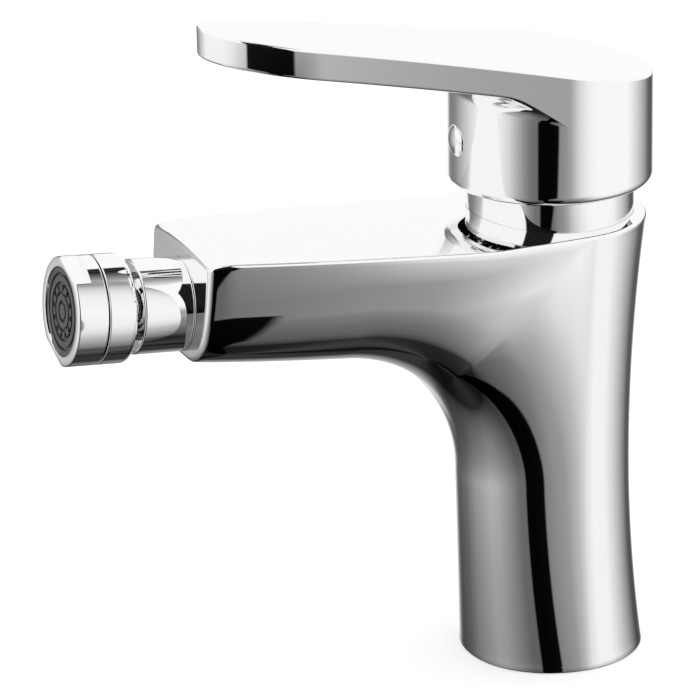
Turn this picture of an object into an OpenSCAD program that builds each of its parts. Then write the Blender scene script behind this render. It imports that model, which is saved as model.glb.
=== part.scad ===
// Single-lever bidet mixer: waisted column with a broad rising spout, a lever handle over a
// ceramic-disc cartridge, and a swivelling ball-joint aerator at the end of the spout.
// Millimetres, +Z up, origin at the centre of the foot on the deck, spout towards -Y.

/* [Body] */
// Diameter of the round foot on the deck
base_d = 46; // [42:0.5:56]
// Diameter of the waist of the column
waist_d = 39.5; // [37:0.5:46]
// Height of the waist above the deck
waist_z = 51; // [35:1:65]
// Diameter of the rim behind the handle
rim_d = 47.6; // [46:0.1:56]
// Height of the edge of the top around the collar
body_h = 114.5; // [105:0.5:140]
// Distance from the axis to the front of the column at the elbow
front_r = 24.3; // [22:0.1:30]
// Distance from the edge of the top down to the start of the elbow
elbow_down = 66.5; // [58:0.5:74]
// Radius of the elbow under the spout
elbow_r = 40.1; // [30:0.1:48]
// Rise of the underside of the spout in degrees
under_rise = 7.4; // [4:0.1:12]

/* [Spout] */
// Distance from the axis to the foot of the end face
spout_reach = 99.3; // [85:0.1:130]
// Width of the spout at its end, before the sides turn in
tip_w = 38; // [34:0.5:46]
// Rise of the top of the spout from the collar to the end
tip_rise = 5.8; // [3:0.05:9]
// Distance from the axis where the top starts to rise
rise_from = 21.2; // [21:0.1:30]
// Outward bulge of the sides in plan
side_bulge = 1.1; // [0:0.1:3]
// Corner radius under the end of the spout
tip_corner = 12; // [8:0.5:15]
// Edge rounding around the end face
tip_round = 1.2; // [0.8:0.1:2.6]
// Drop of the top at the end face
tip_drop = 1.05; // [0:0.05:2]
// Further drop of the two top corners at the end face
tip_crown = 1; // [0:0.1:2]
// Height of the crown across the top beside the collar
top_crown = 2.9; // [0:0.1:3.2]
// Inward turn of the sides at the end face
tip_tuck = 0.7; // [0:0.1:2]
// Length over which the top drops and the sides turn in
tip_run = 9; // [6:0.5:14]
// Backward lean of the end face in degrees
tip_lean = 4.5; // [0:0.5:6]
// Width of the water way inside the spout
way_w = 24; // [16:1:25]
// Wall above and below the water way at the end of the spout
way_wall = 3.5; // [3:0.1:6]
// Distance from the axis to the start of the water way
way_from = 24.5; // [24:0.5:34]
// Wall between the water way and the end face
way_end = 9; // [8:0.5:11]
// Drop of the aerator axis below the middle of the end face
nozzle_drop = 1.1; // [0:0.1:1.5]
// Radius of the slanting way from the cartridge to the spout
slant_r = 4.5; // [3:0.1:5]
// Length of the slanting way
slant_l = 35; // [33:0.5:38]
// Depth of the outlet below the cartridge
outlet_l = 17; // [14:0.5:20]
// Distance of the outlet in front of the axis
outlet_y = 8.5; // [8:0.1:9]

/* [Deck connections] */
// Radius of the tapped wall of a hose inlet, for a hose tail M10x1
inlet_r = 4.55; // [4:0.05:5]
// Depth of a hose inlet thread
inlet_l = 14; // [10:1:18]
// Distance of each hose inlet from the middle plane
inlet_x = 7.2; // [6:0.1:8]
// Distance of the hose inlets behind the axis
inlet_y = 3.5; // [2:0.1:5]
// Radius of the tapped wall of the stud hole, for a stud M8
stud_r = 3.4; // [2.5:0.05:4.2]
// Depth of the stud hole
stud_l = 20; // [14:1:26]
// Distance of the stud hole in front of the axis
stud_y = 10; // [9:0.5:12]
// Mean diameter of the foot gasket
gasket_d = 39; // [37:0.1:40]
// Radial width of the foot gasket
gasket_w = 2.2; // [1.6:0.1:2.6]
// Height of the foot gasket
gasket_h = 1.8; // [1.2:0.1:2.4]

/* [Cartridge] */
// Outer diameter of the cartridge
cart_d = 35; // [34:0.1:35.4]
// Height of the cartridge with its base
cart_h = 24; // [23:0.5:26]
// Wall of the cartridge housing
cart_wall = 2.9; // [2:0.1:3.2]
// Thickness of the cartridge base
cart_base_h = 4; // [3.5:0.1:4.5]
// Thickness of the top of the cartridge housing
cart_lid = 2; // [1.6:0.1:2.4]
// Radius of the water ports in the cartridge base and in the discs
port_r = 3.2; // [2.4:0.1:3.4]
// Radial width of a port seal
seal_w = 1.2; // [0.8:0.1:1.4]
// Height of a port seal
seal_h = 1.1; // [0.8:0.1:1.3]
// Radius of the fixed ceramic disc
fixed_r = 13.6; // [12.5:0.1:14]
// Thickness of each ceramic disc
disc_h = 2.55; // [2:0.05:2.8]
// Radius of the moving ceramic disc and its carrier
moving_r = 9.1; // [8.6:0.1:9.4]
// Height of the disc carrier
carrier_h = 5; // [4.5:0.1:5.3]
// Floor of the pocket in the disc carrier
carrier_floor = 0.5; // [0.4:0.1:1]
// Clear height between the disc carrier and the turret
turret_gap = 0.8; // [0.6:0.1:1.2]
// Thickness of the glide ring on the turret
glide_h = 0.55; // [0.4:0.05:0.8]
// Radius of the neck of the turret
turret_r = 10.9; // [10.5:0.1:11.4]
// Height of the turret from its foot to its top
turret_h = 15.2; // [14:0.1:16]

/* [Stem] */
// Side of the square lever stem
stem_w = 8; // [7:0.1:8.4]
// Height of the lever pivot above the edge of the top, negative is below
pivot_up = -0.5; // [-1:0.1:0.5]
// Length of the stem above the pivot
stem_up = 27; // [24:0.5:29]
// Length of the square part of the stem below the pivot
stem_down = 9; // [8:0.5:10]
// Lift of the lever in degrees
lift_turn = 20; // [14:1:20]
// Radius of the ball foot of the stem
foot_r = 2.5; // [2:0.1:2.8]
// Radius of the pivot pin
pin_r = 1.5; // [1.2:0.1:2]
// Length of the pivot pin
pin_l = 19; // [17:0.5:20]

/* [Nut and collar] */
// Outer diameter of the threaded skirt of the retaining nut
nut_d = 37.8; // [37.4:0.1:38.6]
// Length of the nut thread in the body
nut_l = 8.3; // [6:0.1:10]
// Depth of the cartridge top below the edge of the top
nut_lip = 2.5; // [2:0.1:4]
// Height of the retaining nut above the edge of the top
nut_up = 4.6; // [3.5:0.1:5.5]
// Diameter of the opening in the nut
nut_bore_d = 24.4; // [24:0.1:26]
// Section of the ring that seals the collar on the nut
cord_d = 1.4; // [1:0.1:1.6]
// Outer diameter of the chromed collar
collar_d = 41.5; // [41.2:0.1:43]
// Height of the collar
collar_h = 9.6; // [8:0.1:10.5]
// Wall of the collar
collar_t = 1.5; // [1.2:0.1:1.6]

/* [Handle] */
// Outer diameter of the barrel of the handle
barrel_d = 50.6; // [49.6:0.1:56]
// Clear space around the collar inside the barrel
barrel_clear = 1.25; // [1:0.05:1.6]
// Clear height between the body top and the barrel
barrel_gap = 8.8; // [8.4:0.1:11]
// Height of the handle on its axis
handle_h = 31.7; // [29:0.1:36]
// Slope of the top of the lever in degrees
lever_rise = 10.95; // [6:0.05:14]
// Thickness of the lever blade
lever_t = 7.2; // [5:0.1:8]
// Distance from the axis to the end of the lever
lever_l = 91; // [75:0.5:110]
// Angle around the barrel where the sides of the blade leave it in degrees
leave_turn = 14; // [8:0.5:24]
// Distance from the axis where the sides of the blade bend straight
blade_bend = 36; // [28:1:48]
// Distance from the axis where the end of the blade starts to round
end_from = 66; // [50:1:76]
// Width of the blade where its end starts to round
end_w = 31; // [24:0.5:36]
// Fullness of the rounded end, 2 is an ellipse and more is squarer
end_full = 2.4; // [2:0.1:4]
// Fillet between the underside of the blade and the barrel
fillet_r = 5.5; // [3:0.1:7]
// Rounding of the lower edge of the barrel
lip_r = 2.2; // [1:0.1:2.4]
// Thickness of the roof of the barrel
roof_t = 6; // [5:0.1:8]
// Radius of the boss that takes the stem
boss_r = 8.5; // [7.5:0.1:9]
// Height of the foot of the boss above the body top
boss_up = 14.5; // [14:0.1:16]
// Height of the clamping screw above the body top
screw_up = 21.5; // [20:0.1:23]
// Radius of the clamping screw
screw_r = 2.5; // [2:0.1:3]
// Length of the clamping screw
screw_l = 6; // [5:0.1:7]
// Radius of the index plug
plug_r = 4.2; // [3.5:0.1:5]
// How far the index plug stands out of the barrel
plug_out = 1.3; // [0.5:0.1:2]

/* [Aerator] */
// Diameter of the fixed neck
neck_d = 23; // [22:0.1:24]
// Length of the neck in front of the end face
neck_l = 12.6; // [8:0.1:14]
// Diameter of the thread of the neck inside the spout
thread_d = 21; // [20:0.1:21.6]
// Length of the thread inside the spout
neck_in = 9; // [7:0.5:10]
// Clear gap between the neck and the swivelling ring
swivel_gap = 2; // [1.8:0.1:2.6]
// Outer diameter of the swivelling rings
ring_d = 26.5; // [26:0.1:28]
// Length of the rear ring
rear_ring_l = 7.4; // [7:0.1:9]
// Length of the front ring
front_ring_l = 7.6; // [7.4:0.1:10]
// Groove between the two rings
ring_gap = 0.35; // [0.3:0.05:0.6]
// Distance from the outside of the rings in to the ball
ball_wall = 5.25; // [5:0.05:5.6]
// Distance from the back of the rear ring to the centre of the ball
ball_in = 4; // [3.8:0.1:4.4]
// Wall of the spherical seat on the ball
seat_t = 1.05; // [0.8:0.05:1.2]
// Radius of the stem behind the ball
ball_stem_r = 4.6; // [4.2:0.1:5]
// Radius of the water way through the ball
ball_bore_r = 3.1; // [2:0.1:3.4]
// Wall of the neck
neck_wall = 3; // [2:0.1:4]
// Height of the neck seal
neck_seal_h = 1.8; // [1.2:0.1:2.2]
// Edge rounding at the back of the rear ring
ring_round = 1.7; // [0.5:0.1:2]
// Wall of the rear ring around the spigot of the front ring
spigot_wall = 2.6; // [2:0.1:3]
// Distance from the centre of the ball to the back of the spigot
spigot_s_in = 1.1; // [0.8:0.1:1.5]
// Thickness of the shelf behind the aerator washer
shelf_t = 1.5; // [1:0.1:2]
// Thickness of the aerator washer
washer_t = 0.9; // [0.6:0.1:1.2]
// Thickness of the aerator mesh
mesh_t = 0.5; // [0.3:0.1:0.8]
// Depth of the wrench flats
flat_cut = 1.3; // [0.5:0.1:1.6]
// Length of the wrench flats
flat_l = 4.2; // [3:0.1:6]
// Turn of the wrench flats around the axis in degrees
flat_turn = 18; // [0:1:90]
// Wall of the front ring around the aerator insert
insert_wall = 2.5; // [2.2:0.1:3]
// Depth of the insert behind the rim of the front ring
insert_in = 0.5; // [0.2:0.1:1]

/* [Fits] */
// Radial clearance of turning fits
run_fit = 0.05; // [0.02:0.01:0.1]
// Clearance between pieces that stay together
seat_gap = 0.06; // [0.03:0.01:0.1]
// Clear space around pieces that pass each other
pass_gap = 0.35; // [0.3:0.05:0.5]

/* [Hidden] */
$fn = 96;
base_r = base_d / 2;
waist_r = waist_d / 2;
rim_r = rim_d / 2;
tip_half = tip_w / 2;
cart_r = cart_d / 2;
collar_r = collar_d / 2;
nut_r = nut_d / 2;
nut_bore_r = nut_bore_d / 2;
barrel_r = barrel_d / 2;
neck_r = neck_d / 2;
thread_r = thread_d / 2;
ring_r = ring_d / 2;
ball_r = ring_r - ball_wall;
flat_in = ring_r - flat_cut;
insert_r = ring_r - insert_wall;
elbow_z = body_h - elbow_down;
rise_ease = 0.08;
n_column = 9;
n_turn = 9;
n_rise = 8;
n_spout = 12;
n_tip = 4;
n_arc = 9;
n_side = 4;
n_top = 16;
// Angle of the elbow station whose section plane passes through the rear edge of the spout top
turn_angle = atan((body_h - elbow_z) / (front_r + elbow_r));
under_angle = 90 - under_rise;
under_y = -front_r - elbow_r + elbow_r * cos(under_angle);
under_z = elbow_z + elbow_r * sin(under_angle);
under_len = spout_reach + under_y;
tip_low = under_z + under_len * tan(under_rise);
tip_high = top_line(-spout_reach);
way_h = tip_high - tip_low - 2 * way_wall;
nozzle_z = (tip_low + tip_high) / 2 - nozzle_drop;
cart_top = body_h - nut_lip;
floor_z = cart_top - cart_h;
disc_z = floor_z + cart_base_h + seat_gap;
moving_z = disc_z + disc_h + run_fit;
carrier_z = moving_z + disc_h + run_fit;
turret_z = carrier_z + carrier_h + turret_gap;
housing_in = cart_r - cart_wall;
pivot_z = body_h + pivot_up;
foot_z = carrier_z + carrier_floor + 3 * run_fit + foot_r;
barrel_z = body_h + barrel_gap;
handle_z = barrel_z + handle_h;
screw_z = body_h + screw_up;
barrel_in = collar_r + barrel_clear;
barrel_t = barrel_r - barrel_in;
ring_s = neck_l + swivel_gap;
ball_s = ring_s + ball_in;
seat_r = ball_r + run_fit + seat_t;
front_s = ring_s + rear_ring_l + ring_gap;
end_s = front_s + front_ring_l;
spigot_r = ring_r - spigot_wall;
spigot_s = ball_s + spigot_s_in;
shelf_s = front_s + shelf_t;
mesh_s = shelf_s + washer_t + 2 * seat_gap;
slot_y = (pivot_z - turret_z) * tan(lift_turn) + stem_w / 2 / cos(lift_turn) + 2 * pass_gap;
slot_back = (turret_z + turret_h - pivot_z) * tan(lift_turn) + stem_w / 2 / cos(lift_turn) + 2 * pass_gap;
// Longer than any piece, for cuts that go right through
far = 2 * (lever_l + body_h);

// Radius of the column behind the axis at a height
function rear_r(z) = z < waist_z
    ? waist_r + (base_r - waist_r) * pow((waist_z - z) / waist_z, 2)
    : waist_r + (rim_r - waist_r) * pow((z - waist_z) / (body_h - waist_z), 2);

// Share of the rise of the spout top along its length, with a soft start
function rise_share(s) = (s < rise_ease ? s * s / (2 * rise_ease) : s - rise_ease / 2) / (1 - rise_ease / 2);

// Height of the spout top at a distance along Y, without the crown beside the collar
function top_line(y) = body_h - tip_drop * tip_share(y)
    + tip_rise * rise_share(max(0, (-y - rise_from) / (spout_reach - rise_from)));

// Share of the turn of the surfaces near the end face, from none to one
function tip_share(y) = pow(max(0, 1 - (spout_reach + y) / tip_run), 2);

// Drop of the side edge of the top near the end face
function crown_at(y) = tip_crown * tip_share(y);

// Rise of the spout top from its side edges to its middle, which gets less towards the end face
function crown_rise(y) = crown_at(y) + top_crown * max(0, 1 + y / spout_reach);

// Half width of the spout top at a distance along Y
function plan_half(y) = let (t = min(1, -y / spout_reach))
    rim_r + (tip_half - rim_r) * t * t + 4 * side_bulge * t * (1 - t) - tip_tuck * tip_share(y);

// Distance along a section normal from an underside point up to the edge of the top
function top_reach(y, z, a, d = 40, k = 18) = k == 0
    ? d
    : top_reach(y, z, a, (top_line(y + d * cos(a)) - crown_at(y + d * cos(a)) - z) / sin(a), k - 1);

// Stations along the front of the column, around the elbow and under the spout:
// distance along Y, height, angle of the section plane, share of the way to the end, inset
stations = concat(
    [for (i = [0 : n_column - 1]) let (z = elbow_z * i / n_column)
        [-base_r - (front_r - base_r) * z / elbow_z, z, 0, 0, 0]],
    [for (i = [0 : n_turn]) elbow(turn_angle * i / n_turn)],
    [for (i = [1 : n_rise]) elbow(turn_angle + (under_angle - turn_angle) * i / n_rise)],
    [for (i = [1 : n_spout]) straight(i / n_spout * (1 - tip_round / under_len), 0)],
    [for (i = [1 : n_tip]) let (b = 90 * i / n_tip)
        straight(1 - tip_round * (1 - sin(b)) / under_len, tip_round * (1 - cos(b)))]);

function elbow(b) = [-front_r - elbow_r + elbow_r * cos(b), elbow_z + elbow_r * sin(b), b,
    0.567 * b / under_angle, 0];

function straight(s, inset) = [under_y - s * under_len, under_z + s * under_len * tan(under_rise),
    under_angle + s * (90 - tip_lean - under_angle), 0.567 + 0.433 * s, inset];

n_rear = n_column + n_turn;

// Half section at a station, from the middle of the underside out and up to its end
function half_section(k) = let (
    q = stations[k],
    is_rear = k <= n_rear,
    reach = is_rear ? -q[0] / cos(q[2]) : top_reach(q[0], q[1], q[2]),
    wide = is_rear ? rear_r(q[1] + reach * sin(q[2])) : plan_half(q[0] + reach * cos(q[2])),
    a = wide - q[4],
    rc = min(a - 0.4, (1 - q[3]) * wide + q[3] * tip_corner, 0.97 * reach) - q[4])
    concat([[0, q[0] + q[4] * cos(q[2]), q[1] + q[4] * sin(q[2])]],
        [for (j = [0 : n_arc]) let (t = 90 * j / n_arc, d = q[4] + rc * (1 - cos(t)))
            [a - rc + rc * sin(t), q[0] + d * cos(q[2]), q[1] + d * sin(q[2])]],
        [for (j = [1 : n_side]) let (d = q[4] + rc + (reach - q[4] - rc) * j / n_side)
            [a, q[0] + d * cos(q[2]), q[1] + d * sin(q[2])]]);

// Closing row of a section: an arc behind the axis or a row across the spout top
function closing(e, is_rear) = is_rear
    ? [for (j = [1 : n_top - 1]) let (t = 180 * j / n_top) [e[0] * cos(t), e[0] * sin(t), e[2]]]
    : [for (j = [1 : n_top - 1]) let (u = cos(180 * j / n_top))
        [e[0] * u, e[1], e[2] + crown_rise(e[1]) * (1 - u * u)]];

function ring(k, is_rear) = let (h = half_section(k), n = len(h))
    concat(h, closing(h[n - 1], is_rear), [for (j = [n - 1 : -1 : 1]) [-h[j][0], h[j][1], h[j][2]]]);

// Rings from the foot to the rim, then from the rim along the spout
rings = concat([for (k = [0 : n_rear]) ring(k, true)],
    [for (k = [n_rear : len(stations) - 1]) ring(k, false)]);
ring_n = len(rings[0]);
half_n = n_arc + n_side + 2;

// Outer shape of the column and the spout in one skin
module body_form() {
    count = len(rings);
    points = [for (r = rings) each r];
    walls = [for (k = [0 : count - 2]) if (k != n_rear) for (j = [0 : ring_n - 1])
        let (m = (j + 1) % ring_n) each [
            [k * ring_n + j, k * ring_n + m, (k + 1) * ring_n + m],
            [k * ring_n + j, (k + 1) * ring_n + m, (k + 1) * ring_n + j]]];
    rear_top = [for (j = [half_n - 1 : half_n + n_top - 2]) let (k = n_rear) each [
        [k * ring_n + j, k * ring_n + j + 1, (k + 1) * ring_n + j + 1],
        [k * ring_n + j, (k + 1) * ring_n + j + 1, (k + 1) * ring_n + j]]];
    seam = [for (t = rear_top) if (area(points, t) > 0.0001) t];
    foot = [[for (j = [ring_n - 1 : -1 : 0]) j]];
    tip = [[for (j = [0 : ring_n - 1]) (count - 1) * ring_n + j]];
    polyhedron(points = points, faces = concat(walls, seam, foot, tip), convexity = 6);
}

// Size of a triangle given by three point numbers
function area(p, t) = norm(cross(p[t[1]] - p[t[0]], p[t[2]] - p[t[0]])) / 2;

// Frame of the nozzle: +Z points out of the end face of the spout
module nozzle_frame() {
    translate([0, -spout_reach + nozzle_tuck, nozzle_z])
        rotate([90 - tip_lean, 0, 0])
            children();
}
nozzle_tuck = (nozzle_z - tip_low) * tan(tip_lean);

module body() {
    color([0.80, 0.81, 0.83])
        difference() {
            body_form();
            // Cartridge bore and nut thread
            translate([0, 0, floor_z])
                cylinder(r = cart_r + seat_gap, h = far);
            translate([0, 0, body_h - nut_l - 3 * seat_gap])
                cylinder(r = nut_r + seat_gap, h = far);
            // Seat of the collar in the crowned top
            translate([0, 0, body_h])
                cylinder(r = collar_r + seat_gap, h = far);
            // Hose inlets and their ways up to the cartridge
            for (x = [-inlet_x, inlet_x]) {
                translate([x, inlet_y, -1])
                    cylinder(r = inlet_r, h = inlet_l + 1);
                translate([x, inlet_y, inlet_l - 1])
                    cylinder(r = port_r, h = floor_z - inlet_l + 2);
            }
            // Stud hole
            translate([0, -stud_y, -1])
                cylinder(r = stud_r, h = stud_l + 1);
            // Outlet from the cartridge into the spout
            translate([0, -outlet_y, floor_z - outlet_l])
                cylinder(r = port_r, h = outlet_l + 1);
            translate([0, -outlet_y, floor_z - outlet_l])
                rotate([47, 0, 0])
                    cylinder(r = slant_r, h = slant_l);
            // Water way in the spout
            nozzle_frame()
                rotate([-2.5, 0, 0])
                    translate([-way_w / 2, -way_h / 2 - nozzle_drop, -spout_reach + way_from])
                        cube([way_w, way_h, spout_reach - way_from - way_end]);
            // Thread for the aerator neck
            nozzle_frame()
                translate([0, 0, -neck_in - neck_seal_h])
                    cylinder(r = thread_r + seat_gap, h = far);
            // Groove for the foot gasket
            translate([0, 0, -1])
                tube(gasket_d / 2 + gasket_w / 2 + seat_gap, gasket_d / 2 - gasket_w / 2 - seat_gap,
                    gasket_h + 0.2 + seat_gap + 1);
        }
}

module tube(outer, inner, h) {
    difference() {
        cylinder(r = outer, h = h);
        translate([0, 0, -1])
            cylinder(r = inner, h = h + 2);
    }
}

module base_seal() {
    color([0.09, 0.09, 0.10])
        translate([0, 0, 0.2])
            tube(gasket_d / 2 + gasket_w / 2, gasket_d / 2 - gasket_w / 2, gasket_h);
}

// Places of the two inlets and the outlet seen from above
ports = [[-inlet_x, inlet_y], [inlet_x, inlet_y], [0, -outlet_y]];

module cartridge_base() {
    color([0.86, 0.87, 0.88])
        difference() {
            translate([0, 0, floor_z + seat_gap])
                cylinder(r = cart_r, h = cart_base_h - seat_gap);
            for (p = ports) {
                translate([p[0], p[1], floor_z - 1])
                    cylinder(r = port_r, h = cart_base_h + 2);
                translate([p[0], p[1], floor_z - 1])
                    cylinder(r = port_r + seal_w + seat_gap, h = seal_h + seat_gap + 1);
            }
        }
}

module port_seals() {
    color([0.07, 0.07, 0.08])
        for (p = ports)
            translate([p[0], p[1], floor_z + 0.02])
                tube(port_r + seal_w, port_r + 0.05, seal_h);
}

module fixed_disc() {
    color([0.93, 0.92, 0.88])
        difference() {
            translate([0, 0, disc_z])
                cylinder(r = fixed_r, h = disc_h);
            for (p = ports)
                translate([p[0] * 0.72, p[1] * 0.72, disc_z - 1])
                    cylinder(r = port_r * 0.82, h = disc_h + 2);
        }
}

module moving_disc() {
    color([0.90, 0.89, 0.85])
        difference() {
            translate([0, 0, moving_z])
                cylinder(r = moving_r, h = disc_h);
            translate([0, -1.5, moving_z - 1])
                cylinder(r = moving_r * 0.55, h = disc_h * 0.5 + 1);
        }
}

module disc_carrier() {
    color([0.35, 0.36, 0.38])
        difference() {
            translate([0, 0, carrier_z])
                cylinder(r = moving_r, h = carrier_h);
            translate([-foot_r - 3 * run_fit, -foot_r - run_fit, carrier_z + carrier_floor])
                cube([2 * foot_r + 6 * run_fit, 2 * (foot_r + run_fit), carrier_h]);
        }
}

module cartridge_housing() {
    color([0.88, 0.89, 0.90])
        difference() {
            translate([0, 0, floor_z + cart_base_h + seat_gap])
                cylinder(r = cart_r, h = cart_h - cart_base_h - seat_gap);
            translate([0, 0, floor_z])
                cylinder(r = housing_in, h = cart_h - cart_lid);
            translate([0, 0, floor_z])
                cylinder(r = turret_r + run_fit, h = cart_h + 1);
        }
}

module glide_ring() {
    color([0.96, 0.96, 0.94])
        translate([0, 0, cart_top - cart_lid - glide_h - run_fit])
            tube(housing_in - pass_gap, turret_r + pass_gap, glide_h);
}

module stem_turret() {
    color([0.30, 0.31, 0.33])
        difference() {
            union() {
                translate([0, 0, turret_z])
                    cylinder(r = turret_r, h = turret_h);
                translate([0, 0, turret_z])
                    cylinder(r = housing_in - pass_gap, h = cart_top - cart_lid - glide_h - 2 * run_fit - turret_z);
            }
            translate([-stem_w / 2 - pass_gap, -slot_y, turret_z - 1])
                cube([stem_w + 2 * pass_gap, slot_y + slot_back, turret_h + 2]);
            translate([-far / 2, 0, pivot_z])
                rotate([0, 90, 0])
                    cylinder(r = pin_r + run_fit, h = far);
        }
}

module stem() {
    color([0.72, 0.73, 0.75])
        difference() {
            union() {
                translate([-stem_w / 2, -stem_w / 2, pivot_z - stem_down])
                    cube([stem_w, stem_w, stem_up + stem_down]);
                translate([0, 0, foot_z])
                    cylinder(r = foot_r * 0.8, h = pivot_z - stem_down + 1 - foot_z);
                translate([0, 0, foot_z])
                    sphere(r = foot_r);
            }
            translate([-far / 2, 0, pivot_z])
                rotate([0, 90, 0])
                    cylinder(r = pin_r + run_fit, h = far);
        }
}

module stem_pin() {
    color([0.62, 0.63, 0.65])
        translate([-pin_l / 2, 0, pivot_z])
            rotate([0, 90, 0])
                cylinder(r = pin_r, h = pin_l);
}

module retaining_nut() {
    color([0.74, 0.60, 0.30])
        difference() {
            union() {
                translate([0, 0, body_h - nut_l])
                    cylinder(r = nut_r, h = nut_l + nut_up / 2);
                translate([0, 0, body_h + seat_gap])
                    cylinder(r = collar_r - collar_t - seat_gap, h = nut_up - seat_gap);
            }
            translate([0, 0, floor_z])
                cylinder(r = nut_bore_r, h = far);
            translate([0, 0, floor_z])
                cylinder(r = cart_r + seat_gap, h = cart_h + seat_gap);
            translate([0, 0, body_h + nut_up * 0.55])
                tube(collar_r, collar_r - collar_t - seat_gap - cord_d * 0.9, cord_d * 1.15);
        }
}

module collar_seal() {
    color([0.08, 0.08, 0.09])
        translate([0, 0, body_h + nut_up * 0.55 + cord_d * 0.575])
            rotate_extrude()
                translate([collar_r - collar_t - seat_gap - cord_d * 0.43, 0])
                    circle(d = cord_d * 0.86, $fn = 32);
}

module collar() {
    color([0.82, 0.83, 0.85])
        difference() {
            union() {
                translate([0, 0, body_h + 0.02])
                    cylinder(r = collar_r, h = collar_h - 1.02);
                translate([0, 0, body_h + collar_h - 1])
                    cylinder(r1 = collar_r, r2 = collar_r - 0.8, h = 1);
            }
            translate([0, 0, body_h - 1])
                cylinder(r = collar_r - collar_t, h = collar_h - collar_t + 1);
            translate([0, 0, body_h])
                cylinder(r = nut_bore_r + pass_gap, h = collar_h + 1);
        }
}

// Side of the lever blade seen from above: a curve that leaves the barrel along its tangent
leave = (barrel_r - 0.25) * [cos(leave_turn), -sin(leave_turn)];
bend = [leave[0] - (blade_bend + leave[1]) * tan(leave_turn), -blade_bend];
end = [end_w / 2, -end_from];
function blade_side(t) = leave * (1 - t) * (1 - t) + bend * 2 * t * (1 - t) + end * t * t;

// Rounded end of the blade: the sides run on straight and close on a full oval
end_slope = (end[0] - bend[0]) / (end[1] - bend[1]);
function blade_end(b) = let (run = (lever_l - end_from) * pow(sin(b), 2 / end_full))
    [(end[0] - end_slope * run) * cos(b), -end_from - run];

// Outline of the lever blade seen from above
module blade_plan() {
    side = [for (i = [0 : 14]) blade_side(i / 14)];
    corner = [for (i = [1 : 11]) blade_end(90 * i / 12)];
    half = concat(side, corner);
    polygon(concat(half, [[0, -lever_l]],
        [for (i = [len(half) - 1 : -1 : 0]) [-half[i][0], half[i][1]]]));
}

// Height of the underside of the blade at a distance along Y
function blade_low(y) = handle_z - lever_t / cos(lever_rise) - y * tan(lever_rise);

// Section of the fillet at an angle around the barrel, drawn outwards and upwards
function fillet_section(turn) = let (
    foot = barrel_r - 0.15,
    rows = concat([[foot - 1, -fillet_r]],
        [for (i = [0 : 6]) let (b = 180 - 15 * i)
            [foot + fillet_r * (1 + cos(b)), fillet_r * (sin(b) - 1)]],
        [[foot + fillet_r, 1], [foot - 1, 1]]))
    [for (q = rows) [q[0] * sin(turn), -q[0] * cos(turn), blade_low(-q[0] * cos(turn)) + q[1]]];

// Fillet swept around the front of the barrel under the blade
module blade_fillet() {
    turns = [for (i = [0 : 24]) -84 + 7 * i];
    points = [for (turn = turns) each fillet_section(turn)];
    n = len(fillet_section(0));
    walls = [for (k = [0 : 23]) for (j = [0 : n - 1]) let (m = (j + 1) % n) each [
        [k * n + j, k * n + m, (k + 1) * n + m],
        [k * n + j, (k + 1) * n + m, (k + 1) * n + j]]];
    first = [[for (j = [n - 1 : -1 : 0]) j]];
    last = [[for (j = [0 : n - 1]) 24 * n + j]];
    polyhedron(points = points, faces = concat(walls, first, last), convexity = 4);
}

// Space below a plane that follows the slope of the lever
module below(z) {
    translate([0, 0, z])
        rotate([-lever_rise, 0, 0])
            translate([-far / 2, -far / 2, -far])
                cube(far);
}

module handle() {
    color([0.83, 0.84, 0.86])
        difference() {
            union() {
                difference() {
                    intersection() {
                        barrel_form();
                        below(handle_z);
                    }
                    intersection() {
                        translate([0, 0, barrel_z - 1])
                            cylinder(r = barrel_in, h = far);
                        below(handle_z - roof_t / cos(lever_rise));
                    }
                }
                difference() {
                    intersection() {
                        translate([0, 0, barrel_z])
                            linear_extrude(height = far)
                                blade_plan();
                        below(handle_z);
                    }
                    below(handle_z - lever_t / cos(lever_rise));
                    translate([0, 0, barrel_z - 1])
                        cylinder(r = (barrel_in + barrel_r) / 2, h = far);
                }
                intersection() {
                    blade_fillet();
                    translate([0, 0, barrel_z])
                        linear_extrude(height = far)
                            blade_plan();
                }
                translate([0, 0, body_h + boss_up])
                    cylinder(r = boss_r, h = handle_z - body_h - boss_up - 4);
            }
            // Socket of the stem
            translate([-stem_w / 2 - seat_gap, -stem_w / 2 - seat_gap, barrel_z])
                cube([stem_w + 2 * seat_gap, stem_w + 2 * seat_gap, pivot_z + stem_up + 0.5 - barrel_z]);
            // Way of the clamping screw and seat of the index plug
            translate([0, 0, screw_z])
                rotate([90, 0, 0])
                    cylinder(r = screw_r + seat_gap, h = barrel_r);
            translate([0, -barrel_in + 2, screw_z])
                rotate([90, 0, 0])
                    cylinder(r = plug_r + seat_gap, h = barrel_t + 2 * plug_out + 2);
        }
}

// Barrel of the handle with its rounded lower edge
module barrel_form() {
    rotate_extrude()
        polygon(concat([[0, barrel_z]],
            [for (i = [0 : 5]) let (b = 90 * i / 5)
                [barrel_r - lip_r + lip_r * sin(b), barrel_z + lip_r * (1 - cos(b))]],
            [[barrel_r, barrel_z + far], [0, barrel_z + far]]));
}

module grub_screw() {
    color([0.22, 0.22, 0.24])
        translate([0, -stem_w / 2 - seat_gap, screw_z])
            rotate([90, 0, 0])
                difference() {
                    cylinder(r = screw_r, h = screw_l);
                    translate([0, 0, screw_l - 2.5])
                        cylinder(r = screw_r * 0.55, h = 5, $fn = 6);
                }
}

module index_plug() {
    color([0.80, 0.81, 0.84])
        translate([0, -barrel_in, screw_z])
            rotate([90, 0, 0])
                union() {
                    cylinder(r = plug_r, h = barrel_t + plug_out - 0.4);
                    translate([0, 0, barrel_t + plug_out - 0.4])
                        cylinder(r1 = plug_r, r2 = plug_r - 0.6, h = 0.4);
                }
}

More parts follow.
